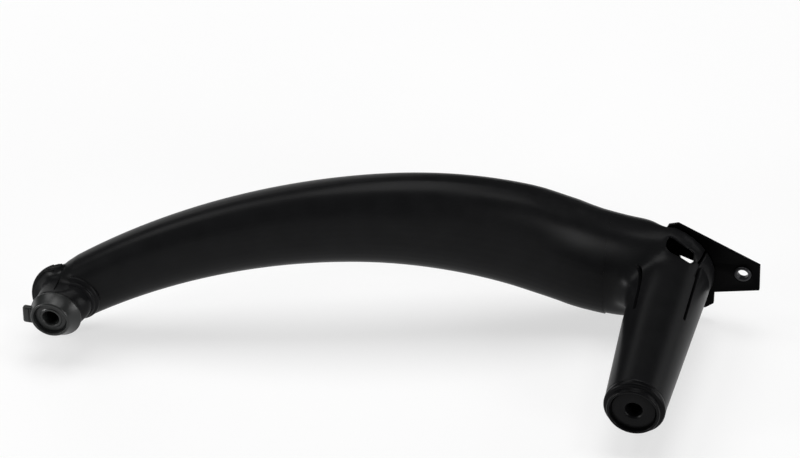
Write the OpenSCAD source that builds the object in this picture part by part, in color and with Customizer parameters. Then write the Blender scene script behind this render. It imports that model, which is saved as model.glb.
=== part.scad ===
/* [Layout] */
// distance between the axes of the two posts
post_span = 250; // [240:1:260]
// distance from the door face to the grip's centre line at the short post
reach_short = 23; // [22.5:0.5:25]
// distance from the door face to the end bracket on the long post
reach_long = 98; // [91:1:103]
// highest point of the grip's centre line above the posts
crown_height = 32.4; // [26:0.2:38]
// distance along the handle from the short post to the highest point
crown_x = 122; // [116:1:128]
// how far the grip's centre line starts below the short post's axis
start_drop = 3.5; // [2:0.5:4]
// radius of the hollow curve that runs into the long post
flare_radius = 86; // [74:1:98]

/* [Grip] */
// grip height next to the short post
grip_height_start = 27; // [26:0.5:28]
// grip height at the thickest place
grip_height_max = 46; // [43:0.5:47]
// how much the grip narrows before the elbow
waist_depth = 2.3; // [1.5:0.1:3]
// grip depth next to the short post
grip_depth_start = 20.5; // [20:0.5:22]
// grip depth at the thick end
grip_depth_end = 29; // [27:0.5:31]
// length over which the grip thickens
taper_length = 175; // [160:1:185]
// squareness of the oval section, 2 is an ellipse
section_power = 2.3; // [2.1:0.05:2.5]
// wall of the grip mouldings
wall = 2.4; // [2:0.1:2.6]
// angle of the parting line from the middle of the rear face
seam_angle = 52; // [48:1:55]
// gap at the parting lines
seam_gap = 0.3; // [0.2:0.05:0.4]
// depth of the lip inside the parting line
lip_t = 1.2; // [1:0.1:1.5]
// distance from the start of the elbow to the long post
elbow_start = 28; // [25:1:32]

/* [Short post] */
// radius of the seat rim
short_rim_r = 8.6; // [8.3:0.1:9]
// radius of the collar's back edge
short_collar_r = 11; // [10.6:0.1:11.3]
// length of the collar
short_collar_l = 6.3; // [6:0.1:6.8]
// sideways lean of the neck
neck_lean = 5.9; // [5:0.1:6.5]
// neck radius where it enters the grip
neck_r = 8.2; // [8:0.1:8.5]
// width of the ring round the neck
ring_w = 1.6; // [1.2:0.1:1.8]
// radius of the rounded end cup
cup_r = 20; // [19.7:0.1:20.3]

/* [Long post] */
// radius of the seat rim
long_rim_r = 11.1; // [10.8:0.1:11.4]
// radius of the post at the door face
long_tip_r = 12.6; // [12.4:0.1:12.9]
// growth of the post's radius per millimetre of length
long_draft = 0.046; // [0.042:0.001:0.05]
// sideways lean of the post per millimetre of length
long_lean = 0.013; // [0:0.001:0.016]
// length of the collar
long_collar_l = 5.2; // [4.8:0.1:6]
// distance from the door face to the joint with the elbow
post_joint = 46; // [43:0.5:48]
// width of the two slots at the root
slot_w = 1.3; // [1.1:0.1:1.6]
// fillet between the grip and the root
root_fillet = 7; // [5:0.5:8]

/* [Fixings] */
// radius of the clearance hole for a door bolt
bolt_hole_r = 3.5; // [3.3:0.05:3.6]
// depth of the recess inside a seat rim
recess = 1.5; // [1.2:0.1:1.8]
// core radius of the insert thread
thread_r = 2.5; // [2.4:0.05:2.6]
// outside radius of an insert
insert_r = 4.5; // [4.3:0.1:4.6]
// radius of the tie rod and of the core screw
rod_r = 2.95; // [2.8:0.05:3]
// thickness of the core bar
core_t = 6; // [5:0.5:6]
// height of the core bar
core_h = 16; // [14:0.5:17]

/* [Bracket] */
// thickness of the end bracket
plate_t = 1.6; // [1.4:0.1:2]
// distance of the ear's hole from the long post's axis
ear_reach = 28; // [27:0.5:29]
// height of the ear's end
ear_h = 13; // [12.4:0.2:13.6]
// radius of the eyelet's hole
eyelet_bore_r = 2.3; // [2.1:0.1:2.4]
// radius of the eyelet's flange
eyelet_r = 3.7; // [3.5:0.1:4]
// length of the window in the elbow
window_l = 14.8; // [13:0.2:15.4]
// height of the window in the elbow
window_h = 4.7; // [4:0.1:5]

/* [Hidden] */
fine = 72;
slip = 0.05;

// centre line of the grip, one arc up from the short post and an ogee down to the long post
slant = (reach_long - reach_short) / post_span;
end_z = 0;
left_rise = crown_height + start_drop;
arc_left = (pow(crown_x, 2) + pow(left_rise, 2)) / (2 * left_rise);
right_run = post_span - crown_x;
right_drop = crown_height - end_z;
arc_sum = (pow(right_run, 2) + pow(right_drop, 2)) / (2 * right_drop);
arc_right = arc_sum - flare_radius;
turn_x = crown_x + arc_right * right_run / arc_sum;
function line_y(x) = min(reach_long, reach_short + slant * x);
function line_z(x) =
    x < crown_x ? crown_height - arc_left + sqrt(pow(arc_left, 2) - pow(crown_x - x, 2))
    : x < turn_x ? crown_height - arc_right + sqrt(pow(arc_right, 2) - pow(x - crown_x, 2))
    : end_z + flare_radius - sqrt(pow(flare_radius, 2) - pow(post_span - min(x, post_span), 2));
function line_slope(x) = line_z(x + 0.5) - line_z(x - 0.5);

// half sizes of the section: it thickens, narrows at the waist and closes at the nose
waist_back = 43;
waist_x = post_span - waist_back;
waist_l = 18;
end_round = 4;
elbow_x = post_span - elbow_start;
nose_x = post_span - 6;
nose_end = post_span + 16.3;
nose_power = 1.8;
tail_back = 18;
tail_x = post_span - tail_back;
tail_end = post_span - 7;
function soft_cap(u, k) = u < 1 - k ? u : u > 1 + k ? 1 : u - pow(u - 1 + k, 2) / (4 * k);
function ease(u) = u < 0 ? 0 : u > 1 ? 1 : u * u * (3 - 2 * u);
function grow(a, b, x) = a + (b - a) * soft_cap(x / taper_length, 0.2);
function close(u, p) = u < 0 ? 1 : pow(max(0, 1 - pow(u, p)), 1 / p);
function nose(x) = close((x - nose_x) / (nose_end - nose_x), nose_power);
function tail(x) = max(0.25, close((x - tail_x) / (tail_end - tail_x), 2));
function bump(u) = abs(u) < 1 ? pow(1 - u * u, 2) : 0;
function height(x) = grow(grip_height_start, grip_height_max, x) - waist_depth * bump((x - waist_x) / waist_l)
    - pow(max(0, end_round - x) / end_round, 2);
function half_z(x) = height(x) / 2 * sqrt(1 + pow(line_slope(x), 2)) * nose(x);
function half_y(x) = grow(grip_depth_start, grip_depth_end, x) / 2 * sqrt(1 + pow(slant, 2));
function half_front(x) = half_y(x) * nose(x);
function half_rear(x) = half_y(x) * tail(x);

// point of the section at x, angle a from the rear, depth d under the surface
function curl(c) = sign(c) * pow(abs(c), 2 / section_power);
function skin(x, a, d) = [
    x,
    line_y(x) + ((cos(a) < 0 ? half_front(x) : half_rear(x)) - d) * curl(cos(a)),
    line_z(x) + (half_z(x) - d) * curl(sin(a))
];
function arc(x, a0, a1, n, d) = [for (i = [0:n]) skin(x, a0 + (a1 - a0) * i / n, d)];
function ring(x, n, d) = [for (i = [0:n - 1]) skin(x, 360 * (i + 0.5) / n, d)];
function steps(a, b, n) = [for (i = [0:n]) a + (b - a) * i / n];
function nose_steps(end, n) = [for (i = [1:n]) nose_x + (end - nose_x) * sin(90 * i / n)];

// solid through a row of equal polygons
module loft(rows) {
    n = len(rows[0]);
    m = len(rows);
    polyhedron(
        points = [for (r = rows) each r],
        faces = concat(
            [[for (i = [0:n - 1]) i]],
            [for (j = [0:m - 2]) for (i = [0:n - 1]) each [
                [j * n + i, (j + 1) * n + i, (j + 1) * n + (i + 1) % n],
                [j * n + i, (j + 1) * n + (i + 1) % n, j * n + (i + 1) % n]
            ]],
            [[for (i = [n - 1:-1:0]) (m - 1) * n + i]]
        )
    );
}

// round solid along y, at x and z, from y0 to y1
module rod(x, z, y0, y1, r, sides = fine) {
    translate([x, y0, z]) rotate([-90, 0, 0]) cylinder(h = y1 - y0, r = r, $fn = sides);
}

// turned solid about an axis along y at x, from a profile of [radius, y]
module turned(x, profile, z = 0, sweep = 360, start = 0) {
    translate([x, 0, z]) rotate([-90, 0, 0]) rotate([0, 0, start])
        rotate_extrude(angle = sweep, $fn = fine) polygon(profile);
}

// neck, cup and eye stations near the short post
shell_start = -0.5;
neck_up = 0.9;
neck_bend = reach_short - 10.8;
ring_front = reach_short - 8.8;
lobe_x = -1.2;
lobe_r = neck_r - 0.8;
ring_back = ring_front + 2.8;
eye_y = reach_short - 1;
eye_t = 4;
eye_r = 8.5;
eye_x = 1;
eye_z = -2.5;
cup_x = 5;
cup_z = -4.6;
cup_rim = reach_short - 3;
web_t = 1.6;
cup_back = reach_short + half_rear(0) - 2;
cup_end_x = 3;
cup_end_z = -5.2;
cup_end_r = 12;
cup_wall = 2;
cup_cut = shell_start - seam_gap;
peg_x = -5;
peg_z = -5.5;
peg_r = 1;
insert_y = short_collar_l + 2.8;
bore_step = insert_y + 6;

// hole for the short post's boss through the front of the thin end, a little wider at its mouth
hole_mouth = 5;
hole_draft = 0.01;
module boss_hole(r) {
    cuts = steps(hole_mouth, reach_short, 8);
    for (i = [0:7]) hull() for (y = [cuts[i], cuts[i + 1]])
        rod(0, 0, y - 0.01, y, r + hole_draft * (reach_short - y), 48);
}

module grip_shell() {
    color("#222326")
        difference() {
            loft([for (x = steps(shell_start, elbow_x, 46)) concat(
                arc(x, seam_angle, 360 - seam_angle, 30, 0),
                arc(x, 360 - seam_angle, seam_angle, 20, wall))]);
            boss_hole(boss_r + seam_gap);
        }
}

// rear cover with a lip inside each parting line
lip_d = wall + 0.4;
lip_a = 9;
function lip_run(x) = 0.3 + (lip_a - 0.3) * (1 - ease((x - tail_x + 8) / 8));
cover_end = tail_end - 0.8;
tail_rows = steps(tail_x + 1.5, cover_end, 5);
function seam_half(x) = seam_angle - seam_gap / half_z(x) * 57.3;
function cover_row(x) = let (s = seam_half(x), l = s + lip_run(x)) concat(
    arc(x, -s, s, 16, 0),
    arc(x, s, l, 2, lip_d),
    arc(x, l, s - 3, 2, lip_d + lip_t),
    arc(x, s - 3, 3 - s, 12, wall),
    arc(x, 3 - s, -l, 2, lip_d + lip_t),
    arc(x, -l, -s, 2, lip_d));
module grip_cover() {
    color("#26272a")
        loft([for (x = concat(steps(shell_start, tail_x, 42), tail_rows)) cover_row(x)]);
}

// root of the long post: slices from the joint into the elbow, drawn out on the grip's side
root_end = reach_long - 9;
floor_t = 8.5;
function post_r(y) = long_tip_r + long_draft * y;
function post_x(y) = post_span - long_lean * y;
front_y = reach_long - half_y(post_span) + 1;
function flare(y) = let (u = max(0, min(root_fillet, y - front_y + root_fillet)))
    root_fillet - sqrt(pow(root_fillet, 2) - u * u);
module slice(y, r) {
    rod(post_x(y), 0, y - 0.01, y, r, 48);
    if (flare(y) > 0.05) rod(post_x(y) - flare(y), 0, y - 0.01, y, r, 48);
}
root_cuts = concat([post_joint + 0.01],
    [for (i = [0:7]) front_y - root_fillet * (1 - sin(90 * i / 7)) - 0.02], [root_end]);
spigot_r = 11.4;
spigot_l = 13;
plate_x = tail_end;
window_at = [post_span + 3.4, reach_long - 13, 20.9];
window_dip = 37.5;
window_yaw = 14;
window_tilt = 33.5;
window_in = 8;
window_out = 24;
window_shape = [[-window_l / 2, -window_h / 2], [window_l / 2 - 2.4, -window_h / 2], [window_l / 2, 0.2],
    [window_l / 2 - 0.8, window_h / 2], [1.9 - window_l / 2, window_h / 2]];
screw_x = [3, 10.2];
screw_z = [15, 6.5];
screw_at = [[post_span - screw_x[0], -screw_z[0]], [post_span + screw_x[1], -screw_z[1]]];
screw_r = 1.25;
screw_l = 8.5;
screw_head_r = 2.8;
screw_head_t = 1.7;
screw_boss_r = 3.3;
screw_boss_l = 10;
clear_block = 60;

slot_floor = spigot_r + 0.8;
slot_depth = 7;
slot_foot = 6.8;
slot_head = 9.3;
left_slot_a = [-40.5, -43.5];
right_slot_a = [50, 46];
// narrow slot on the root from [y, angle] to [y, angle], the angle measured from the top
module slot(a, b) {
    for (i = [0:3]) hull() for (t = [i / 4, (i + 1) / 4])
        let (y = a[0] + (b[0] - a[0]) * t)
            translate([post_x(y), y, 0]) rotate([0, a[1] + (b[1] - a[1]) * t, 0])
                translate([0, 0, slot_floor]) cylinder(h = slot_depth, d = slot_w, $fn = 16);
}

module elbow_housing() {
    color("#222326")
        difference() {
            union() {
                difference() {
                    loft([for (x = concat(steps(elbow_x, nose_x, 8), nose_steps(nose_end - 0.3, 8)))
                        ring(x, 40, 0)]);
                    loft([for (x = concat([elbow_x - 1], steps(elbow_x, nose_x, 6),
                        nose_steps(nose_end - wall - 0.6, 6))) ring(x, 32, wall)]);
                }
                difference() {
                    for (i = [0:len(root_cuts) - 2]) hull() {
                        slice(root_cuts[i], post_r(root_cuts[i]));
                        slice(root_cuts[i + 1], post_r(root_cuts[i + 1]));
                    }
                    rod(post_x(post_joint), 0, post_joint - 1, post_joint + spigot_l + 1, spigot_r + 0.1, 64);
                    rod(post_x(post_joint), 0, post_joint + spigot_l, root_end - floor_t, spigot_r + 1.2, 64);
                }
                intersection() {
                    for (p = screw_at)
                        rod(p[0], p[1], reach_long - screw_boss_l, reach_long, screw_boss_r, 32);
                    loft([for (x = concat(steps(elbow_x, nose_x, 6), nose_steps(nose_end - 1, 6)))
                        ring(x, 32, 1)]);
                }
            }
            loft([for (x = concat([elbow_x - 1], steps(elbow_x, tail_x, 3), tail_rows, [post_span]))
                concat(arc(x, -seam_angle, seam_angle, 16, -4),
                    [skin(x, seam_angle, 0), skin(x, seam_angle, wall),
                [x, line_y(x), line_z(x)], skin(x, -seam_angle, wall), skin(x, -seam_angle, 0)])]);
            translate([plate_x - seam_gap, reach_long, -clear_block])
                cube([clear_block, clear_block, 2 * clear_block]);
            slot([post_joint + slot_foot, left_slot_a[0]], [root_end - slot_head, left_slot_a[1]]);
            slot([post_joint + slot_foot, right_slot_a[0]], [reach_long + 2, right_slot_a[1]]);
            translate(window_at) rotate([-90 - window_dip, 0, window_yaw]) rotate([0, 0, window_tilt])
                translate([0, 0.3, -window_in]) linear_extrude(window_in + window_out)
                    offset(r = 0.8, $fn = 24) offset(delta = -0.8)
                    polygon(window_shape);
            for (p = screw_at)
                rod(p[0], p[1], reach_long - screw_l - 0.5, reach_long + 1, screw_r + slip, 24);
            rod(post_span, 0, post_joint, reach_long, rod_r + 0.4, 32);
            rod(post_span, 0, far_eye_y, reach_long + 1, far_eye_r + seam_gap, 48);
            translate([tang_x - seam_gap, far_eye_y, -tang_h / 2 - seam_gap])
                cube([post_span - tang_x, eye_t + seam_gap, tang_h + 2 * seam_gap]);
            loft([for (x = steps(elbow_x - 1, core_end + seam_gap, 6)) core_row(x, seam_gap)]);
        }
}

// flanged cup that closes the thin end behind the short post
bead_r = 1.5;
bead_z = cup_z + sqrt(pow(cup_r, 2) - pow(cup_x - cup_cut + bead_r, 2)) - bead_r - 1.2;
module cone(inset, y0, y1) {
    hull() {
        rod(cup_x, cup_z, y0, y0 + 0.1, cup_r - 0.6 - inset, 48);
        rod(cup_end_x, cup_end_z, y1 - 0.1, y1, cup_end_r - inset, 48);
    }
}
module end_cup() {
    color("#242528") {
        difference() {
            union() {
                turned(cup_x, [[0, cup_rim], [cup_r - 0.6, cup_rim], [cup_r, cup_rim + 0.6],
                    [cup_r, cup_rim + web_t], [0, cup_rim + web_t]], cup_z);
                difference() {
                    cone(0, cup_rim + web_t - 0.1, cup_back);
                    cone(cup_wall, cup_rim + web_t, cup_back - cup_wall);
                }
            }
            translate([cup_cut, 0, -clear_block]) cube([clear_block, clear_block, 2 * clear_block]);
            rod(0, 0, 0, cup_rim + web_t + 0.1, boss_r + seam_gap);
        }
        rod(peg_x, peg_z, eye_y + eye_t, cup_back - 1, 1.9, 32);
        rod(peg_x, peg_z, eye_y + 0.5, eye_y + eye_t + 1, peg_r, 32);
        rod(cup_cut - bead_r - 0.2, bead_z, cup_rim - 0.8, cup_rim + 0.1, bead_r, 32);
    }
}

// bar from post to post, with a round eye at each end
far_eye_r = 8;
core_start = 6.5;
core_end = post_span - 13;
far_eye_y = root_end;
tang_x = core_end - 9;
tang_h = core_h - 4;
core_c = 1.5;
function core_row(x, g = 0) = let (y = line_y(x), z = line_z(x), c = core_c, t = core_t / 2 + g,
    h = core_h / 2 + g) [
    [x, y + t, z - h + c], [x, y + t, z + h - c], [x, y + t - c, z + h], [x, y - t + c, z + h],
    [x, y - t, z + h - c], [x, y - t, z - h + c], [x, y - t + c, z - h], [x, y + t - c, z - h]];
module core_bar() {
    color("#8b8f94")
        difference() {
            union() {
                loft([for (x = steps(core_start, core_end, 30)) core_row(x)]);
                rod(eye_x, eye_z, eye_y, eye_y + eye_t, eye_r);
                rod(post_span, 0, far_eye_y, far_eye_y + eye_t, far_eye_r);
                translate([tang_x, far_eye_y, -tang_h / 2]) cube([post_span - 4 - tang_x, eye_t, tang_h]);
            }
            rod(0, 0, eye_y - 1, reach_short + 12, rod_r + 0.2);
            rod(0, 0, eye_y + eye_t, reach_short + 12, head_r + seam_gap);
            rod(post_span, 0, far_eye_y - 1, far_eye_y + eye_t + 1, rod_r + 0.2);
            rod(peg_x, peg_z, eye_y - 1, eye_y + eye_t + 1, peg_r + slip, 32);
        }
}

boss_r = 6.2;
neck_start = short_collar_l + 0.05;
neck_cuts = concat(steps(neck_start, neck_bend, 6), [ring_front, cup_rim - seam_gap / 2]);
neck_steps = len(neck_cuts) - 1;
function mix(a, b, u) = a + (b - a) * u;
// slice of the neck at y, grown by g: one circle at the collar draws out into two side by side
module neck_slice(y, g) {
    u = ease((y - neck_start) / (neck_bend - neck_start));
    z = mix(collar_lean[1], neck_up, u);
    r = short_collar_r - collar_step;
    rod(mix(collar_lean[0], neck_lean, u), z, y - slip, y, mix(r, neck_r, u) + g, 44);
    rod(mix(collar_lean[0], lobe_x, u), z, y - slip, y, mix(r, lobe_r, u) + g, 44);
}
module neck(g = 0) {
    for (i = [0:neck_steps - 1]) hull() {
        neck_slice(neck_cuts[i], g);
        neck_slice(neck_cuts[i + 1], g);
    }
}
// room for the thin end of the grip, so that the neck stops on its skin
skin_run = 40;
module grip_room() {
    loft([for (x = concat([cup_cut], steps(shell_start, skin_run, 16))) ring(x, 40, -seam_gap)]);
}
module short_post() {
    color("#1f2022")
        difference() {
            union() {
                difference() {
                    neck();
                    grip_room();
                }
                rod(0, 0, insert_y + 1, eye_y, boss_r);
            }
            rod(0, 0, short_collar_l - 1, insert_y, boss_r);
            rod(0, 0, insert_y - 0.1, eye_y + 1, insert_r);
        }
}

// collar whose back edge leans with the neck, and the key on its side
collar_lean = [0.9, -0.8];
collar_step = 0.8;
key_w = 3.4;
key_h = 8.2;
key_l = 2.8;
key_x = -13.3;
key_y = 3.2;
key_z = -6.3;
module short_collar() {
    color("#2a2b2e")
        difference() {
            union() {
                hull() {
                    rod(0, 0, 0, 1, short_rim_r - 0.4);
                    rod(0, 0, 0.4, 1, short_rim_r);
                    rod(collar_lean[0], collar_lean[1], short_collar_l - 1.2, short_collar_l, short_collar_r);
                }
                rod(0, 0, short_collar_l - 1, insert_y, boss_r - 0.1);
                hull() {
                    rod(key_x + 0.8, key_z + key_h - 0.8, key_y, key_y + key_l, 0.8, 32);
                    rod(key_x + 2.2, key_z + 2.2, key_y, key_y + key_l, 2.2, 32);
                    translate([key_x + key_w, key_y, key_z]) cube([1.6, key_l, key_h]);
                }
            }
            translate([key_x + key_w - 0.4, key_y - 0.1, key_z - 1]) cube([0.7, 0.8, key_h + 2]);
            rod(0, 0, -1, recess, short_rim_r - 1.3);
            rod(0, 0, -1, insert_y + 1, bolt_hole_r);
        }
}

// threaded insert from y0, with a plain bore behind the thread
module insert(x, y0, y1, step) {
    turned(x, [[thread_r, y0], [insert_r, y0], [insert_r, y1], [rod_r + slip, y1], [rod_r + slip, step],
        [thread_r, step]]);
}
module short_insert() {
    color("#b59a52") insert(0, insert_y, eye_y, bore_step);
}

// socket screw, its tip at y0 and the seat of its head at y1
head_r = 4.4;
head_t = 2.6;
module short_screw() {
    color("#5c5f63")
        difference() {
            union() {
                rod(0, 0, bore_step + 0.2, eye_y + eye_t + 1, rod_r);
                rod(0, 0, eye_y + eye_t, eye_y + eye_t + head_t, head_r);
            }
            rod(0, 0, eye_y + eye_t + 1.2, eye_y + eye_t + head_t + 1, 2.3, 6);
        }
}

// ring round the cabin side of the neck, in two steps up to the grip's skin
ring_rows = [[ring_front, 0.5], [ring_front + 0.4, 0.9], [ring_front + 1.1, 0.9], [ring_front + 1.2, 1.2],
    [ring_front + 1.6, ring_w], [ring_back, ring_w], [ring_back + 1, ring_w], [ring_back + 2, ring_w],
    [ring_back + 3, ring_w]];
module neck_ring() {
    color("#18191a")
        difference() {
            for (i = [0:len(ring_rows) - 2]) hull() for (p = [ring_rows[i], ring_rows[i + 1]])
                rod(neck_lean, neck_up, p[0] - 0.01, p[0], neck_r + p[1], 64);
            neck(0.1);
            grip_room();
            translate([neck_lean - 0.8 - clear_block, 0, -clear_block])
                cube([clear_block, clear_block, 2 * clear_block]);
        }
}

// long post: leaning cone with a spigot for the elbow
long_insert_y = 14.2;
long_insert_end = long_insert_y + 12;
module long_post() {
    color("#222326")
        difference() {
            union() {
                hull() {
                    rod(post_x(long_collar_l), 0, long_collar_l, long_collar_l + 0.02, post_r(long_collar_l));
                    rod(post_x(post_joint), 0, post_joint - 0.02, post_joint, post_r(post_joint));
                }
                rod(post_x(post_joint), 0, post_joint - 1, post_joint + spigot_l, spigot_r);
            }
            rod(post_span, 0, long_collar_l - 1, long_insert_y, 9);
            rod(post_span, 0, long_insert_y - 1, long_insert_end + 1, insert_r);
            rod(post_span, 0, long_insert_end, post_joint + spigot_l + 1, 9);
        }
}

module long_collar() {
    color("#26272a")
        turned(post_span, [[bolt_hole_r, recess], [long_rim_r - 1.5, recess], [long_rim_r - 1.3, 0.3],
            [long_rim_r - 1, 0], [long_rim_r - 0.5, 0], [long_rim_r, 0.5], [long_rim_r + 0.5, 2.3],
            [long_tip_r - 0.2, 2.9], [long_tip_r + 0.4, long_collar_l - 0.6],
            [long_tip_r + 0.4, long_collar_l], [8.9, long_collar_l], [8.9, long_insert_y],
            [bolt_hole_r, long_insert_y]]);
}

module long_insert() {
    color("#b59a52") insert(post_span, long_insert_y, long_insert_end, long_insert_y + 6);
}

// rod from the long insert through the elbow's floor and the bar, with its washer and nut
washer_t = 1.2;
nut_t = 3.2;
washer_y = far_eye_y + eye_t;
nut_y = washer_y + washer_t;
plate_back = reach_long + plate_t;
module tie_rod() {
    color("#6a6d70") rod(post_span, 0, long_insert_y + 6.2, nut_y + nut_t + 0.4, rod_r);
}
module tie_washer() {
    color("#7b7e82")
        turned(post_span, [[rod_r + 0.2, washer_y], [6.2, washer_y], [6.2, nut_y], [rod_r + 0.2, nut_y]]);
}
module tie_nut() {
    color("#6a6d70")
        difference() {
            rod(post_span, 0, nut_y, nut_y + nut_t, 5.6, 6);
            rod(post_span, 0, nut_y - 1, nut_y + nut_t + 1, rod_r + slip);
        }
}

// end bracket: flat plate behind the elbow with an ear for one screw
ear_z = 1.8;
hole_z = ear_z + 1.2;
ear_end = ear_reach + 7.1;
plate_l = plate_x - post_span;
bracket_outline = [[plate_l, 18.4], [plate_l + 2, 22.8], [-1, 24.2], [ear_end, ear_z + ear_h / 2],
    [ear_end + 0.4, ear_z - ear_h / 2], [16.2, -9.3], [16.2, -15.5], [12.7, -18.4], [plate_l, -18.4]];
drain = [[0.3, 7.9], [7.5, 5.5], [7.5, 2.6], [5.6, 1.9], [1.2, 4.2]];
module end_bracket() {
    color("#141416")
        difference() {
            translate([post_span, plate_back, 0]) rotate([90, 0, 0])
                linear_extrude(plate_t) polygon(bracket_outline);
            rod(post_span + ear_reach, hole_z, reach_long - 1, plate_back + 1, eyelet_r - 0.7);
            translate([post_span, plate_back + 1, 0]) rotate([90, 0, 0])
                linear_extrude(plate_t + 2) polygon(drain);
            for (p = screw_at) rod(p[0], p[1], reach_long - 1, plate_back + 1, screw_r + 0.35, 32);
        }
}
module bracket_eyelet() {
    lip = reach_long - 0.8;
    edge = reach_long - 0.5;
    back = plate_back + 0.2;
    color("#3a3c3f")
        turned(post_span + ear_reach, [[eyelet_bore_r, edge], [eyelet_bore_r + 0.3, lip],
            [eyelet_r - 0.3, lip], [eyelet_r, edge], [eyelet_r, reach_long], [eyelet_r - 0.7, reach_long],
            [eyelet_r - 0.7, back], [eyelet_bore_r, back]], hole_z);
}
module bracket_screws() {
    color("#5c5f63")
        for (p = screw_at) {
            rod(p[0], p[1], reach_long - screw_l, plate_back + 0.5, screw_r, 32);
            rod(p[0], p[1], plate_back, plate_back + screw_head_t, screw_head_r, 40);
        }
}

// spring clips between the bar and the rear cover, soft pads between the bar and the shell
clip_at = [45, 95, 145, 195];
clip_w = 7;
clip_h = 10;
clip_t = 1;
pad_at = [20, 70, 120, 170];
pad_w = 10;
pad_h = 8;
touch = 0.05;
function inside(x, half, h) = let (u = h / 2 / (half_z(x) - wall))
    (half - wall) * pow(1 - pow(u, section_power), 1 / section_power);
function clip_row(x, t, up) = let (z = line_z(x) - clip_h / 2, y0 = line_y(x) + core_t / 2 + touch,
    y1 = line_y(x) + inside(x, half_rear(x), clip_h) - 0.15) [
    [x, y0 + t, z + t], [x, y1 - t, z + t], [x, y1 - t, z + clip_h + up], [x, y0 + t, z + clip_h + up]];
function pad_row(x) = let (z = line_z(x) - pad_h / 2, y1 = line_y(x) - core_t / 2 - touch,
    y0 = line_y(x) - inside(x, half_front(x), pad_h) + 0.15) [
    [x, y0, z], [x, y1, z], [x, y1, z + pad_h], [x, y0, z + pad_h]];
module cover_clips() {
    color("#777b80")
        for (x = clip_at) difference() {
            loft([clip_row(x - clip_w / 2, 0, 0), clip_row(x + clip_w / 2, 0, 0)]);
            loft([clip_row(x - clip_w / 2 - 1, clip_t, 1), clip_row(x + clip_w / 2 + 1, clip_t, 1)]);
        }
}
module core_pads() {
    color("#1b1b1c")
        for (x = pad_at) loft([pad_row(x - pad_w / 2), pad_row(x + pad_w / 2)]);
}

grip_shell();
grip_cover();
elbow_housing();
end_cup();
core_bar();
short_post();
short_collar();
short_insert();
short_screw();
neck_ring();
long_post();
long_collar();
long_insert();
tie_rod();
tie_washer();
tie_nut();
end_bracket();
bracket_eyelet();
bracket_screws();
cover_clips();
core_pads();
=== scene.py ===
# %% [markdown]
# # A car door pull handle
# This handle is bolted to a door panel by two posts, a short one at its thin end and a long one at its
# thick end. The solids come from the frame, at their real size and place, in metres: the door panel is
# the plane Y = 0, X runs along the handle and Z is up. Here each visible piece gets its moulded edges,
# its smooth skin and its finish.

# %% load the frame
import bmesh
import bpy
import math
from mathutils import Matrix, Vector, kdtree


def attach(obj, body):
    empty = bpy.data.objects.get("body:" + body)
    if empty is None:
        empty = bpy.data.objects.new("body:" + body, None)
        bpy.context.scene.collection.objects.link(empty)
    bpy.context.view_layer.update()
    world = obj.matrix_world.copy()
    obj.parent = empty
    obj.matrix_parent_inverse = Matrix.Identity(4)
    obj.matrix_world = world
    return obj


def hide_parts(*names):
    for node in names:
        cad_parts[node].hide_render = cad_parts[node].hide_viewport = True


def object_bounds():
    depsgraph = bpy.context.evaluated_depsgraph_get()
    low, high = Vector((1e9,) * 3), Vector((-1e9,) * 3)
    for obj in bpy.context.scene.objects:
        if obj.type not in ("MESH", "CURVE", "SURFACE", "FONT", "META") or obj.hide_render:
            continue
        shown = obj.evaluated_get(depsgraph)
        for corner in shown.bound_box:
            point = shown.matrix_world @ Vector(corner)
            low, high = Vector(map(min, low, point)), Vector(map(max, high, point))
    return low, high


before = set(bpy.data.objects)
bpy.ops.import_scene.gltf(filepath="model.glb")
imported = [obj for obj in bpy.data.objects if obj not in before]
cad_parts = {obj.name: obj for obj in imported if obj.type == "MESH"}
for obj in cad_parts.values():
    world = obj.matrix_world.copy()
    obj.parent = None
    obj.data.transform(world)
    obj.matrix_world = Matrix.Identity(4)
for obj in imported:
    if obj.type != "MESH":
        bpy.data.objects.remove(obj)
cad_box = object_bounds()
scene = bpy.context.scene
MM = 0.001
print("solids in the frame:", len(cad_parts))

# %% [markdown]
# ## Measures
# A few lengths of the handle in millimetres, which several pieces share.

# %% measures
POST_X = 250
ELBOW_X = 222
POST_JOINT = 46
POST_START = 5.2
TIP_R = 12.6
DRAFT = 0.046
LEAN = 0.013
COLLAR_L = 6.3
HOLE_R = 3.5


def post_r(y):
    return TIP_R + DRAFT * y


# %% [markdown]
# ## Working by hand in a script
# An operator works on whatever is selected, and the loaded solids are all selected. So each step first
# leaves one piece selected and active. Two more helpers open and close edit mode and apply a modifier.

# %% selecting, editing, applying
def only(piece):
    bpy.ops.object.select_all(action="DESELECT")
    piece.select_set(True)
    bpy.context.view_layer.objects.active = piece


def edit(piece, mode="VERT"):
    only(piece)
    bpy.ops.object.mode_set(mode="EDIT")
    bpy.ops.mesh.select_mode(type=mode)
    bpy.ops.mesh.select_all(action="SELECT")


def leave_edit():
    bpy.ops.object.mode_set(mode="OBJECT")


def apply_modifier(piece, kind, **settings):
    only(piece)
    modifier = piece.modifiers.new(kind.lower(), kind)
    for key, value in settings.items():
        setattr(modifier, key, value)
    bpy.ops.object.modifier_apply(modifier=modifier.name)


def smooth(piece, degrees=35):
    only(piece)
    bpy.ops.object.shade_smooth_by_angle(angle=math.radians(degrees))


def round_edges(piece, width, segments=3, degrees=35):
    apply_modifier(piece, "BEVEL", width=width * MM, segments=segments, limit_method="ANGLE",
                   angle_limit=math.radians(degrees), use_clamp_overlap=True, miter_outer="MITER_ARC")


def settle(piece):
    """Puts the piece's place into its mesh, so that its object sits at the origin."""
    only(piece)
    bpy.ops.object.transform_apply(location=True, rotation=True, scale=True)


# %% [markdown]
# ## Copies of moulded solids
# The long arched grip already has its exact skin in the frame, but as loose triangles. A copy is merged
# into one mesh. Copies can be joined, and a plane can cut one and close the cut.

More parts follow.
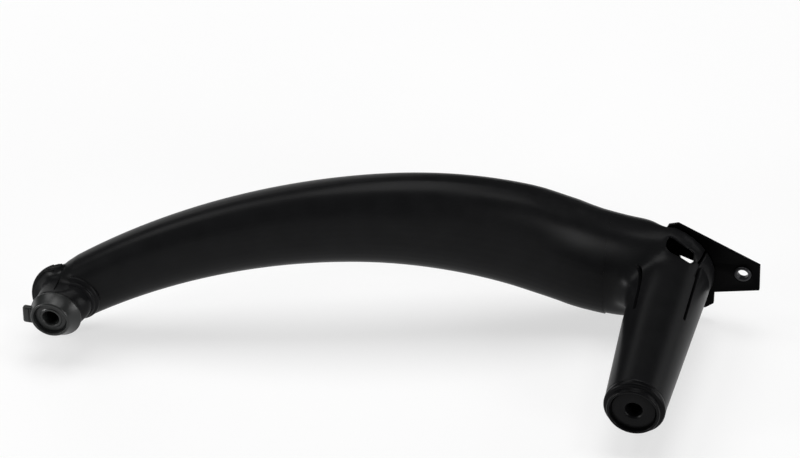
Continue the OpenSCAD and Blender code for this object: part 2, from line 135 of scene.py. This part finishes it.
# %% merged copies, joining and cutting
def moulding(node, name):
    piece = bpy.data.objects.new(name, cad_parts[node].data.copy())
    scene.collection.objects.link(piece)
    piece.data.materials.clear()
    edit(piece)
    bpy.ops.mesh.customdata_custom_splitnormals_clear()
    bpy.ops.mesh.remove_doubles(threshold=0.002 * MM)
    leave_edit()
    return piece


def joined(name, *pieces):
    bpy.ops.object.select_all(action="DESELECT")
    for piece in pieces:
        piece.select_set(True)
    bpy.context.view_layer.objects.active = pieces[0]
    bpy.ops.object.join()
    whole = bpy.context.object
    whole.name = whole.data.name = name
    return whole


def cut(piece, place, normal):
    """Takes away what lies on the normal's side of the plane through place, and closes the cut."""
    edit(piece)
    bpy.ops.mesh.bisect(plane_co=[v * MM for v in place], plane_no=normal, use_fill=True, clear_outer=True)
    leave_edit()


def carve(piece, tool):
    apply_modifier(piece, "BOOLEAN", object=tool, operation="DIFFERENCE", solver="MANIFOLD")
    bpy.data.objects.remove(tool)


def twin(piece, name):
    only(piece)
    bpy.ops.object.duplicate()
    copy = bpy.context.object
    copy.name = copy.data.name = name
    return copy


def finish_piece(piece, material, slot, *nodes):
    piece.data.materials.clear()
    piece.data.materials.append(material)
    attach(piece, "root")
    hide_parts(*nodes)
    print(piece.name, len(piece.data.polygons), "faces, stands for", ", ".join(nodes))


# %% [markdown]
# ## One even skin
# A mould has no sharp inner corners: where a post leaves the grip, the two skins run into each other. A
# voxel remesh turns joined copies into one even mesh, smoothing evens out its small steps, and the inner
# corners are then relaxed until they flow, strongest in the corner and fading out around it.

# %% remesh and relaxed corners
INNER_ANGLE = math.radians(-5)
SKIN_ROUNDS = 6


def reskin(piece, voxel):
    apply_modifier(piece, "REMESH", mode="VOXEL", voxel_size=voxel * MM, adaptivity=0)
    apply_modifier(piece, "SMOOTH", factor=0.5, iterations=SKIN_ROUNDS)


def relax_corners(piece, reach, rounds, box):
    """Relaxes the inner corners in a box, [low, high] for x, y and z, fading out over reach millimetres."""
    mesh = bmesh.new()
    mesh.from_mesh(piece.data)
    corners = [v.co.copy() for e in mesh.edges if len(e.link_faces) == 2
               and e.calc_face_angle_signed() < INNER_ANGLE
               for v in e.verts if all(low < a < high for a, (low, high) in zip(v.co / MM, box))]
    mesh.free()
    tree = kdtree.KDTree(len(corners))
    for i, co in enumerate(corners):
        tree.insert(co, i)
    tree.balance()
    group = piece.vertex_groups.new(name="corner")
    for vertex in piece.data.vertices:
        far = tree.find(vertex.co)[2] / (reach * MM)
        if far < 1:
            group.add([vertex.index], (1 - far * far) ** 2, "REPLACE")
    apply_modifier(piece, "SMOOTH", factor=0.5, iterations=rounds, vertex_group="corner")
    piece.vertex_groups.clear()
    print(piece.name, "corner points:", len(corners))


# %% [markdown]
# Where the grip widens towards the elbow, its front has no ridge, only a low swelling that catches the
# light. A weight for each point, from its place and the way its skin faces, says how much it is evened out
# or raised.

# %% an evened front with a low swelling
BROW_FROM, BROW_TO = (90, 150), (230, 240)
HUMP_X, HUMP_W, HUMP_H = 203, 8, 0.8


def ramp(value, low, high):
    t = min(max((value - low) / (high - low), 0), 1)
    return t * t * (3 - 2 * t)


def brow(x, normal):
    """The grip's front below its crest, where it widens towards the elbow."""
    return (ramp(x, *BROW_FROM) * ramp(-x, -BROW_TO[1], -BROW_TO[0]) * ramp(-normal.y, 0.05, 0.3)
            * ramp(normal.z, 0.1, 0.4))


def hump(x, normal):
    """A low swelling of the grip's front before the elbow."""
    return math.exp(-((x - HUMP_X) / HUMP_W) ** 2 / 2) * ramp(-normal.y, 0.1, 0.5)


def shape_front(piece, rounds):
    """Evens out the brow by so many rounds of smoothing, then raises the hump towards the door."""
    group = piece.vertex_groups.new(name="brow")
    for vertex in piece.data.vertices:
        weight = brow((vertex.co / MM).x, vertex.normal)
        if weight > 0:
            group.add([vertex.index], weight, "REPLACE")
    apply_modifier(piece, "SMOOTH", factor=0.5, iterations=rounds, vertex_group="brow")
    piece.vertex_groups.clear()
    lifts = [HUMP_H * MM * hump((v.co / MM).x, v.normal) for v in piece.data.vertices]
    for vertex, lift in zip(piece.data.vertices, lifts):
        vertex.co.y -= lift
    print(piece.name, "raised by up to", round(max(lifts) / MM, 2), "mm")


# %% [markdown]
# ## Turned pieces
# Collars, posts and eyelets are round about an axis that runs out of the door. By hand one starts from a
# circle, extrudes its edge, and scales or moves the new ring, again and again along the profile. The last
# ring is bridged to the first, which closes the wall. A ring may also sit to one side, so a post can lean.

# %% a ring drawn along a profile
def turned(name, centre, profile, sides=96, hollow=True):
    """profile: [radius, y] or [radius, y, x shift, z shift] in millimetres, about centre [x, z]."""
    rings = [(list(p) + [0, 0])[:4] for p in profile]
    r, y, sx, sz = rings[0]
    bpy.ops.object.select_all(action="DESELECT")
    bpy.ops.mesh.primitive_circle_add(
        vertices=sides, radius=r * MM, rotation=(math.pi / 2, 0, 0),
        location=((centre[0] + sx) * MM, y * MM, (centre[1] + sz) * MM))
    piece = bpy.context.object
    piece.name = piece.data.name = name
    edit(piece, "EDGE")
    for (r0, y0, x0, z0), (r1, y1, x1, z1) in zip(rings, rings[1:]):
        bpy.ops.mesh.extrude_region_move(
            TRANSFORM_OT_translate={"value": ((x1 - x0) * MM, (y1 - y0) * MM, (z1 - z0) * MM)})
        bpy.ops.transform.resize(
            value=(r1 / r0, 1, r1 / r0),
            center_override=((centre[0] + x1) * MM, y1 * MM, (centre[1] + z1) * MM))
    bpy.ops.mesh.select_all(action="DESELECT")
    bpy.ops.mesh.select_non_manifold(use_wire=False, use_multi_face=False, use_non_contiguous=False,
                                     use_verts=False)
    if hollow:
        bpy.ops.mesh.bridge_edge_loops()
    else:
        bpy.ops.mesh.fill_holes(sides=0)
    bpy.ops.mesh.select_all(action="SELECT")
    bpy.ops.mesh.normals_make_consistent(inside=False)
    leave_edit()
    settle(piece)
    return piece


# %% [markdown]
# ## Finishes
# Everything in sight is black, so the finishes differ by grain and gloss more than by colour. Each one
# reads Object coordinates, which are metres here, so a grain of half a millimetre is written as that.

# %% one moulded or coated finish
def finish(name, colour, rough, gloss, grain, depth, mottle=0.12, metal=0.0, patch=9.0):
    """grain and patch are in millimetres; depth is the grain's height in millimetres."""
    material = bpy.data.materials.new(name)
    material.use_nodes = True
    nodes, links = material.node_tree.nodes, material.node_tree.links
    shader = nodes["Principled BSDF"]
    shader.inputs["Metallic"].default_value = metal
    shader.inputs["Specular IOR Level"].default_value = gloss
    place = nodes.new("ShaderNodeTexCoord")
    fine = nodes.new("ShaderNodeTexNoise")
    fine.inputs["Scale"].default_value = 1 / (grain * MM)
    fine.inputs["Detail"].default_value = 3
    wide = nodes.new("ShaderNodeTexNoise")
    wide.inputs["Scale"].default_value = 1 / (patch * MM)
    wide.inputs["Detail"].default_value = 4
    for texture in (fine, wide):
        links.new(place.outputs["Object"], texture.inputs["Vector"])
    shade = nodes.new("ShaderNodeValToRGB")
    for stop, at, k in zip(shade.color_ramp.elements, (0.3, 0.7), (1 - mottle, 1 + mottle)):
        stop.position = at
        stop.color = [c * k for c in colour] + [1]
    links.new(wide.outputs["Fac"], shade.inputs["Fac"])
    links.new(shade.outputs["Color"], shader.inputs["Base Color"])
    worn = nodes.new("ShaderNodeMapRange")
    worn.inputs["To Min"].default_value = rough - 0.05
    worn.inputs["To Max"].default_value = rough + 0.05
    links.new(wide.outputs["Fac"], worn.inputs["Value"])
    links.new(worn.outputs["Result"], shader.inputs["Roughness"])
    bump = nodes.new("ShaderNodeBump")
    bump.inputs["Distance"].default_value = depth * MM
    bump.inputs["Strength"].default_value = 0.6
    links.new(fine.outputs["Fac"], bump.inputs["Height"])
    links.new(bump.outputs["Normal"], shader.inputs["Normal"])
    return material


grip_black = finish("satin grip black", (0.0056, 0.0057, 0.0061), 0.34, 0.070, 0.45, 0.008)
# The short collar is the same black plastic as the grip. Its base colour is made about twice as light as
# painted highlight, standing in for the light on its top band. Its higher gloss is real.
collar_black_lightened = finish("smooth collar black lightened as painted highlight", (0.0120, 0.0128, 0.0126), 0.34, 0.30, 0.40, 0.004)
# The long collar is the same black plastic as the grip. Its base colour is made darker than the grip's as
# painted shade, standing in for the shade in its step and groove.
tip_black_darkened = finish("smooth tip black darkened as painted shade", (0.0026, 0.0026, 0.0029), 0.34, 0.07, 0.40, 0.004)
bracket_black = finish("coated bracket black", (0.0006, 0.0006, 0.0007), 0.42, 0.03, 0.60, 0.010)
eyelet_black = finish("plated eyelet black", (0.020, 0.020, 0.022), 0.30, 0.5, 0.30, 0.004, metal=0.6)
zinc = finish("zinc plated steel", (0.45, 0.46, 0.48), 0.32, 0.5, 0.5, 0.004, metal=1.0)
# The inserts are real brass pieces. Their colour is darkened far below that of brass as painted shade, so
# that they look dark inside the bolt holes.
brass = finish("brass insert darkened as painted shade", (0.10, 0.08, 0.05), 0.40, 0.5, 0.5, 0.004, metal=1.0)
cast = finish("cast core", (0.55, 0.56, 0.57), 0.50, 0.5, 0.8, 0.030, metal=1.0)
nylon = finish("natural nylon", (0.72, 0.70, 0.64), 0.45, 0.4, 0.4, 0.006)
rubber = finish("soft pad rubber", (0.018, 0.018, 0.018), 0.70, 0.2, 0.5, 0.020)
print("finishes:", len(bpy.data.materials))

# %% [markdown]
# ## Grip shell, neck and end cup
# At the thin end the front moulding of the grip, the neck of the short post and the end cup meet in one
# smooth saddle. The neck's copy is fattened by the width of the joint and the cup's copy moves up to it, so
# that all three touch. A strip of the elbow goes on at the other end, so that the skin does not round off
# there before it is cut.

# %% skin of the thin end
NECK_GROWTH = 0.35
CUP_FACE = 20.05
CUP_SHIFT = (0.4, -0.3, 0)
CUP_SEAM = -0.65
SHELL_VOXEL = 0.6
SHELL_ROUNDS = 300
SADDLE = ((-11, 12), (8, 22), (-9, 8))
SADDLE_REACH, SADDLE_ROUNDS = 5, 160
STRIP = 24
shell = moulding("grip_shell", "shell")
neck = moulding("short_post", "neck")
edit(neck)
bpy.ops.transform.shrink_fatten(value=NECK_GROWTH * MM)
leave_edit()
cup = moulding("end_cup", "cup")
cut(cup, (0, CUP_FACE, 0), (0, -1, 0))
edit(cup)
bpy.ops.transform.translate(value=[v * MM for v in CUP_SHIFT])
leave_edit()
strip = moulding("elbow_housing", "strip")
cut(strip, (ELBOW_X + STRIP, 0, 0), (1, 0, 0))
grip_front = joined("grip_front", shell, neck, cup, strip)
reskin(grip_front, SHELL_VOXEL)
relax_corners(grip_front, SADDLE_REACH, SADDLE_ROUNDS, SADDLE)
shape_front(grip_front, SHELL_ROUNDS)

# %% [markdown]
# A plane cuts the skin between the cup and the grip. The cup gets back the crisp rim of its disc, as an arc
# of a turned ring, and a small raised bar inside it, where the real one has a snap.

# %% end cup and grip front
CUP_CENTRE = (5, -4.6)
RIM_END_X, RIM_FOOT_Z = -4.4, -14
SNAP_FROM, SNAP_TO, SNAP_R = (-8.4, 19.9, 9.6), (-3.9, 19.9, 10.9), 0.6
cup_skin = twin(grip_front, "cup_skin")
cut(cup_skin, (CUP_SEAM, 0, 0), (1, 0, 0))
cut(grip_front, (CUP_SEAM, 0, 0), (-1, 0, 0))
cut(grip_front, (ELBOW_X, 0, 0), (1, 0, 0))
smooth(grip_front, 60)
finish_piece(grip_front, grip_black, "grip_black", "grip_shell", "short_post")


def bar_between(name, start, end, radius):
    """A round bar with rounded ends."""
    start, end = Vector(start) * MM, Vector(end) * MM
    bpy.ops.object.select_all(action="DESELECT")
    bpy.ops.mesh.primitive_cylinder_add(
        vertices=32, radius=radius * MM, depth=(end - start).length, location=(start + end) / 2,
        rotation=(end - start).to_track_quat("Z", "Y").to_euler())
    bar = bpy.context.object
    bar.name = bar.data.name = name
    settle(bar)
    round_edges(bar, radius * 0.9, 5)
    return bar


rim = turned("rim", CUP_CENTRE, [
    [18.4, 20.4], [19.1, 20.1], [19.6, 20.2], [19.9, 20.6], [19.9, 21.2], [19.5, 21.6], [18.4, 21.6]])
cut(rim, (RIM_END_X, 0, 0), (1, 0, 0))
cut(rim, (0, 0, RIM_FOOT_Z), (0, 0, -1))
snap = bar_between("snap", SNAP_FROM, SNAP_TO, SNAP_R)
cup_skin = joined("cup_skin", cup_skin, snap, rim)
smooth(cup_skin, 50)
finish_piece(cup_skin, grip_black, "cup_black", "end_cup")

# %% [markdown]
# ## Rear cover
# The cover closes the grip on the cabin side. Its copy has its parting edges kept sharp by a crease, and is
# subdivided once, so that the skin has no facets.

# %% rear cover
cover = moulding("grip_cover", "grip_rear")
edit(cover, "EDGE")
bpy.ops.mesh.tris_convert_to_quads(face_threshold=math.radians(30), shape_threshold=math.radians(60))
bpy.ops.mesh.select_all(action="DESELECT")
bpy.ops.mesh.edges_select_sharp(sharpness=math.radians(40))
bpy.ops.transform.edge_crease(value=1)
leave_edit()
apply_modifier(cover, "SUBSURF", levels=1, render_levels=1)
smooth(cover, 40)
finish_piece(cover, grip_black, "grip_black", "grip_cover")

# %% [markdown]
# ## Elbow and long post
# Behind the long post the grip ends in a rounded nose, and the post's root grows out of it with a soft
# fillet. The post is turned by hand as a leaning cone that runs on into the elbow, and fills the elbow's two
# slots while the skin is made. A round filler lies in the corner between grip and post, and is relaxed into
# the fillet. A strip of the grip goes on for a flush joint, and planes then cut the skin into its two
# mouldings.

# %% elbow and post
ELBOW_VOXEL = 0.42
ELBOW_ROUNDS = 600
ROOT_TOP = 80
BORE_R, BORE_TOP, SOCKET_R = 9, 59, 12.6
INSERT_R, INSERT_Y = 4.5, (14.2, 26.2)
FILLER_FROM, FILLER_TO, FILLER_R = (231.5, 77.5, -7), (233.5, 78.5, 12), 6
FILLET = ((0, 241), (62, 90), (-16, 15))
FILLET_REACH, FILLET_ROUNDS = 17, 700


def cone(y):
    return [post_r(y), y, -LEAN * y]


post = turned("post", (POST_X, 0), [
    [BORE_R, POST_START], cone(POST_START), cone(20), cone(POST_JOINT), cone(65), cone(ROOT_TOP),
    [SOCKET_R, ROOT_TOP], [SOCKET_R, BORE_TOP], [BORE_R, BORE_TOP], [BORE_R, INSERT_Y[1]],
    [INSERT_R, INSERT_Y[1]], [INSERT_R, INSERT_Y[0]], [BORE_R, INSERT_Y[0]]])
elbow = moulding("elbow_housing", "elbow")
strip = moulding("grip_shell", "strip")
cut(strip, (ELBOW_X - STRIP, 0, 0), (-1, 0, 0))
filler = bar_between("filler", FILLER_FROM, FILLER_TO, FILLER_R)
elbow = joined("elbow_skin", elbow, post, strip, filler)
reskin(elbow, ELBOW_VOXEL)
shape_front(elbow, ELBOW_ROUNDS)
relax_corners(elbow, FILLET_REACH, FILLET_ROUNDS, FILLET)
long_post = twin(elbow, "long_post_skin")
cut(elbow, (ELBOW_X, 0, 0), (-1, 0, 0))
cut(elbow, (0, POST_JOINT, 0), (0, -1, 0))
cut(long_post, (0, POST_JOINT, 0), (0, 1, 0))

# %% [markdown]
# The two slots at the root let the post flex a little as it is bolted down. Each is cut by a thin bar with
# rounded ends, laid along the skin.

# %% slots
SLOT_DEPTH = 9
LEFT_SLOT = ((52.8, -40.5), (79.7, -43.5), 1.8)
RIGHT_SLOT = ((52.8, 50), (100, 46), 1.5)


def on_root(y, degrees, r):
    a = math.radians(degrees)
    return Vector((POST_X - LEAN * y + r * math.sin(a), y, r * math.cos(a)))


def slot_bar(name, start, end, width, floor=13):
    """start, end: [y, degrees from the top]; floor: distance of the slot's floor from the post's axis."""
    middle = [(a + b) / 2 for a, b in zip(start, end)]
    low, high = on_root(*start, floor + SLOT_DEPTH / 2), on_root(*end, floor + SLOT_DEPTH / 2)
    along = (high - low).normalized()
    outward = (on_root(*middle, 2) - on_root(*middle, 1)).normalized()
    across = along.cross(outward).normalized()
    outward = across.cross(along)
    turn = Matrix((across, along, outward)).transposed().to_euler()
    bpy.ops.object.select_all(action="DESELECT")
    bpy.ops.mesh.primitive_cube_add(
        size=1, location=(low + high) / 2 * MM, rotation=turn,
        scale=(width * MM, (high - low).length * MM, SLOT_DEPTH * MM))
    bar = bpy.context.object
    bar.name = bar.data.name = name
    settle(bar)
    round_edges(bar, width * 0.45, 4)
    return bar


carve(elbow, slot_bar("left slot", *LEFT_SLOT))
carve(elbow, slot_bar("right slot", *RIGHT_SLOT))

# %% [markdown]
# The window beside the post has crisp edges, so it is cut last, by a five-sided punch along the window's own
# axis.

# %% window
WINDOW_AT = Vector((253.4, 85, 20.9))
WINDOW_DIP, WINDOW_YAW = math.radians(37.5), math.radians(14)
WINDOW = ((-5.1, 6.0), (5.1, -1.0), (5.8, -4.2), (4.1, -5.4), (-6.1, 1.1))
PUNCH = (-8, 20)
axis = Vector((math.sin(WINDOW_YAW) * math.cos(WINDOW_DIP), -math.cos(WINDOW_YAW) * math.cos(WINDOW_DIP),
               math.sin(WINDOW_DIP)))
aside = Vector((math.cos(WINDOW_YAW), math.sin(WINDOW_YAW), 0))
above = axis.cross(aside)
bpy.ops.object.select_all(action="DESELECT")
bpy.ops.mesh.primitive_circle_add(vertices=len(WINDOW), radius=MM, fill_type="NGON")
punch = bpy.context.object
punch.name = punch.data.name = "punch"
for vertex, (u, v) in zip(punch.data.vertices, WINDOW):
    vertex.co = (WINDOW_AT + aside * u + above * v + axis * PUNCH[0]) * MM
edit(punch, "FACE")
bpy.ops.mesh.extrude_region_move(TRANSFORM_OT_translate={"value": axis * (PUNCH[1] - PUNCH[0]) * MM})
bpy.ops.mesh.select_all(action="SELECT")
bpy.ops.mesh.normals_make_consistent(inside=False)
leave_edit()
carve(elbow, punch)
smooth(elbow, 50)
finish_piece(elbow, grip_black, "grip_black", "elbow_housing")
smooth(long_post, 50)
finish_piece(long_post, grip_black, "post_black", "long_post")

# %% [markdown]
# ## Collar of the short post
# The collar is a leaning cone with a thin rim round its seat, a chamfer at the bolt hole and a fine ridge at
# its back edge. A key on its side sits in a slot of the door panel and stops the handle from turning.

# %% short collar
BACK_X, BACK_Z = 0.9, -0.8
KEY_AT, KEY_SIZE = Vector((-10.6, 4.6, -2.2)), Vector((5.4, 2.8, 8.2))
GROOVE_FROM, GROOVE_TO, GROOVE_R = (-10.1, 3.1, -7), (-10.1, 3.1, 3), 0.45
collar = turned("short_collar_skin", (0, 0), [
    [HOLE_R, 9.1], [HOLE_R, 1.9], [3.8, 1.3], [4.6, 1.2], [5.0, 1.6], [6.6, 1.6], [6.8, 2.4], [7.15, 2.4],
    [7.3, 0.35], [7.5, 0], [8.2, 0], [8.6, 0.4],
    [8.9, 1.2, 0.1, -0.1], [10.7, 5.0, 0.8, -0.7], [11.1, 5.4, BACK_X, BACK_Z],
    [11.1, 5.9, BACK_X, BACK_Z], [10.7, COLLAR_L, BACK_X, BACK_Z], [6.1, COLLAR_L], [6.1, 9.1]])
round_edges(collar, 0.12, 2, 20)
bpy.ops.object.select_all(action="DESELECT")
bpy.ops.mesh.primitive_cube_add(size=1, location=KEY_AT * MM, scale=KEY_SIZE * MM)
key = bpy.context.object
settle(key)
round_edges(key, 1.1, 5)
carve(key, bar_between("groove", GROOVE_FROM, GROOVE_TO, GROOVE_R))
collar = joined("short_collar_skin", collar, key)
smooth(collar)
# Its finish is lightened as painted highlight.
finish_piece(collar, collar_black_lightened, "post_black", "short_collar")

# %% [markdown]
# ## Ring round the neck
# Two fine ridges run round the cabin side of the neck, where it enters the grip. They are turned as one wavy
# ring, and a plane takes away the side that the saddle covers.

# %% neck ring
RING_CENTRE, RING_START_X = (5.9, 0.9), 4.6
ring = turned("neck_ring_skin", RING_CENTRE, [
    [8.2, 12.8], [9.2, 13.2], [9.7, 13.8], [9.3, 14.4], [9.7, 14.8], [10.7, 15.2], [11.1, 15.8],
    [10.9, 16.6], [9.4, 18], [8.2, 18]])
round_edges(ring, 0.15, 2, 15)
cut(ring, (RING_START_X, 0, 0), (-1, 0, 0))
smooth(ring, 50)
finish_piece(ring, grip_black, "post_black", "neck_ring")

# %% [markdown]
# ## Collar of the long post
# This one is straight: a rim, a step and a band that stands a little proud of the post.

# %% long collar
collar = turned("long_collar_skin", (POST_X, 0), [
    [HOLE_R, 14.2], [HOLE_R, 2.1], [4.3, 1.5], [9.2, 1.5], [9.4, 2.2], [9.8, 2.2], [9.9, 0.3], [10.2, 0],
    [10.8, 0], [11.2, 0.4], [11.2, 2.6], [12.5, 2.8], [13.0, 3.3], [13.0, POST_START], [8.9, POST_START],
    [8.9, 14.2]])
round_edges(collar, 0.15, 2, 20)
smooth(collar)
# Its finish is darkened as painted shade.
finish_piece(collar, tip_black_darkened, "post_black", "long_collar")

# %% [markdown]
# ## End bracket
# A flat coated plate behind the elbow, with an ear for one screw. Its flat triangles are dissolved into
# whole faces, the front face is inset and sunk a little, which leaves a rim along the outline, and all edges
# are rounded so that they catch the light.

# %% bracket
RIM_W, RIM_H = 1.0, 0.35
bracket = moulding("end_bracket", "bracket_skin")
edit(bracket, "FACE")
bpy.ops.mesh.dissolve_limited(angle_limit=math.radians(1))
bpy.ops.mesh.select_all(action="DESELECT")
leave_edit()
for face in bracket.data.polygons:
    face.select = face.normal.y < -0.99
bpy.ops.object.mode_set(mode="EDIT")
bpy.ops.mesh.inset(thickness=RIM_W * MM, depth=-RIM_H * MM)
leave_edit()
round_edges(bracket, 0.15, 2)
smooth(bracket)
finish_piece(bracket, bracket_black, "bracket_black", "end_bracket")

# %% [markdown]
# The ear's hole is lined by a rolled eyelet, and two pan-head screws hold the plate to the elbow.

# %% eyelet and screws
EAR_AT = (POST_X + 28, 3)
SCREWS_AT = ((247, -15), (260.2, -6.5))
eyelet = turned("eyelet_skin", EAR_AT, [
    [2.3, 99.8], [2.3, 97.6], [2.45, 97.3], [2.75, 97.2], [3.3, 97.25], [3.6, 97.45], [3.7, 97.7],
    [3.7, 98], [3.0, 98], [3.0, 99.8]])
smooth(eyelet, 50)
finish_piece(eyelet, eyelet_black, "eyelet_black", "bracket_eyelet")
screws = []
for place in SCREWS_AT:
    screw = turned("screw", place, [
        [0.8, 89.5], [1.25, 90.2], [1.25, 99.6], [2.8, 99.6], [2.8, 100.4], [2.5, 101], [1.9, 101.3],
        [1.2, 101.3], [1.0, 100.3]], 48, hollow=False)
    screws.append(screw)
screws = joined("screws_skin", *screws)
smooth(screws)
finish_piece(screws, zinc, "fixing_metal", "bracket_screws")

# %% [markdown]
# ## Pieces inside
# The core bar, the inserts and the fixings stay as the frame has them, and only get a finish. The inserts'
# brass is darkened far below its own colour, as painted shade in the bolt holes.

# %% inner pieces
for node, material in (("core_bar", cast), ("short_insert", brass), ("long_insert", brass),
                       ("short_screw", zinc), ("tie_rod", zinc), ("tie_washer", zinc), ("tie_nut", zinc),
                       ("cover_clips", nylon), ("core_pads", rubber)):
    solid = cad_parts[node]
    solid.data.materials.clear()
    solid.data.materials.append(material)
    print(node, "gets", material.name)

# %% [markdown]
# ## Camera
# The photograph looks down on the door side of the handle. Its angles, the pixel of the short post's seat
# and the scale there fix the camera.

# %% camera
PHOTO_W, PHOTO_H = 800, 458
LENS, SENSOR = 180, 36
AZIMUTH, ELEVATION = math.radians(14), math.radians(37.5)
SEAT_PX = (49.7, 320.2)
PX_PER_M = 2376
focal_px = LENS / SENSOR * PHOTO_W
distance = focal_px / PX_PER_M
back = Vector((math.sin(AZIMUTH) * math.cos(ELEVATION), -math.cos(AZIMUTH) * math.cos(ELEVATION),
               math.sin(ELEVATION)))
right = Vector((math.cos(AZIMUTH), math.sin(AZIMUTH), 0))
up = back.cross(right)
camera_data = bpy.data.cameras.new("camera")
camera_data.lens = LENS
camera_data.sensor_width = SENSOR
camera = bpy.data.objects.new("camera", camera_data)
camera.location = distance * (back - right * (SEAT_PX[0] - PHOTO_W / 2) / focal_px
                              + up * (SEAT_PX[1] - PHOTO_H / 2) / focal_px)
camera.rotation_euler = (math.pi / 2 - ELEVATION, 0, AZIMUTH)
scene.collection.objects.link(camera)
scene.camera = camera
print("camera at", [round(v, 4) for v in camera.location])

# %% [markdown]
# ## Studio
# The handle lies just above a white floor, lit to nearly full white. A share of the floor's white is its
# own, for the camera, for reflections and through clear pieces, and the rest is lit paint that keeps the
# handle's soft shadow.

# %% floor
MIDDLE_X = 0.13
FLOOR_SIZE = 12
FLOOR_GAP = 0.5
WHITE_SHARE = 0.6
bpy.ops.object.select_all(action="DESELECT")
bpy.ops.mesh.primitive_plane_add(size=FLOOR_SIZE, location=(MIDDLE_X, 0, cad_box[0][2] - FLOOR_GAP * MM))
floor = bpy.context.object
floor.name = "floor"
settle(floor)
paint = finish("white floor", (0.95, 0.95, 0.95), 0.9, 0.0, 2.0, 0.002, mottle=0.005, patch=60)
tree = paint.node_tree
seen = tree.nodes.new("ShaderNodeLightPath")
white = tree.nodes.new("ShaderNodeEmission")
blend = tree.nodes.new("ShaderNodeMixShader")
share = tree.nodes.new("ShaderNodeMath")
share.operation = "MULTIPLY"
share.inputs[1].default_value = WHITE_SHARE
rays = seen.outputs["Is Camera Ray"]
for kind in ("Is Glossy Ray", "Is Transmission Ray"):
    either = tree.nodes.new("ShaderNodeMath")
    either.operation = "MAXIMUM"
    tree.links.new(rays, either.inputs[0])
    tree.links.new(seen.outputs[kind], either.inputs[1])
    rays = either.outputs["Value"]
tree.links.new(rays, share.inputs[0])
tree.links.new(share.outputs["Value"], blend.inputs["Fac"])
tree.links.new(tree.nodes["Principled BSDF"].outputs["BSDF"], blend.inputs[1])
tree.links.new(white.outputs["Emission"], blend.inputs[2])
tree.links.new(blend.outputs["Shader"], tree.nodes["Material Output"].inputs["Surface"])
floor.data.materials.append(paint)

# %% [markdown]
# Soft lamps stand around the handle. Each is placed by its direction, and its strength is the share of
# white that it would give a matt white card at the handle.

# %% lamps
CENTRE = Vector((MIDDLE_X, 0.05, 0))
LAMP_FAR = 1.7


def lamp(name, azimuth, elevation, strength, size=0.7):
    a, e = math.radians(azimuth), math.radians(elevation)
    towards = Vector((math.sin(a) * math.cos(e), -math.cos(a) * math.cos(e), math.sin(e)))
    data = bpy.data.lights.new(name, "AREA")
    data.shape = "DISK"
    data.size = size
    data.energy = strength * (math.pi * LAMP_FAR) ** 2
    light = bpy.data.objects.new(name, data)
    light.location = CENTRE + towards * LAMP_FAR
    light.rotation_euler = towards.to_track_quat("Z", "Y").to_euler()
    scene.collection.objects.link(light)


lamp("top", 180, 80, 0.44, 1.0)
lamp("high right", 95, 63, 0.12, 0.5)
lamp("left", 270, 55, 0.28, 0.9)
lamp("low left", 305, 9, 0.50, 0.45)
lamp("low back", 212, 14, 0.16, 1.2)
lamp("right back", 125, 20, 0.12, 0.9)
lamp("low right", 60, 11, 0.50, 0.9)
AIR = 0.06
world = bpy.data.worlds.new("studio air")
scene.world = world
world.use_nodes = True
world.node_tree.nodes["Background"].inputs["Color"].default_value = (1, 1, 1, 1)
world.node_tree.nodes["Background"].inputs["Strength"].default_value = AIR
scene.view_settings.view_transform = "Standard"
print("lamps:", len(bpy.data.lights))
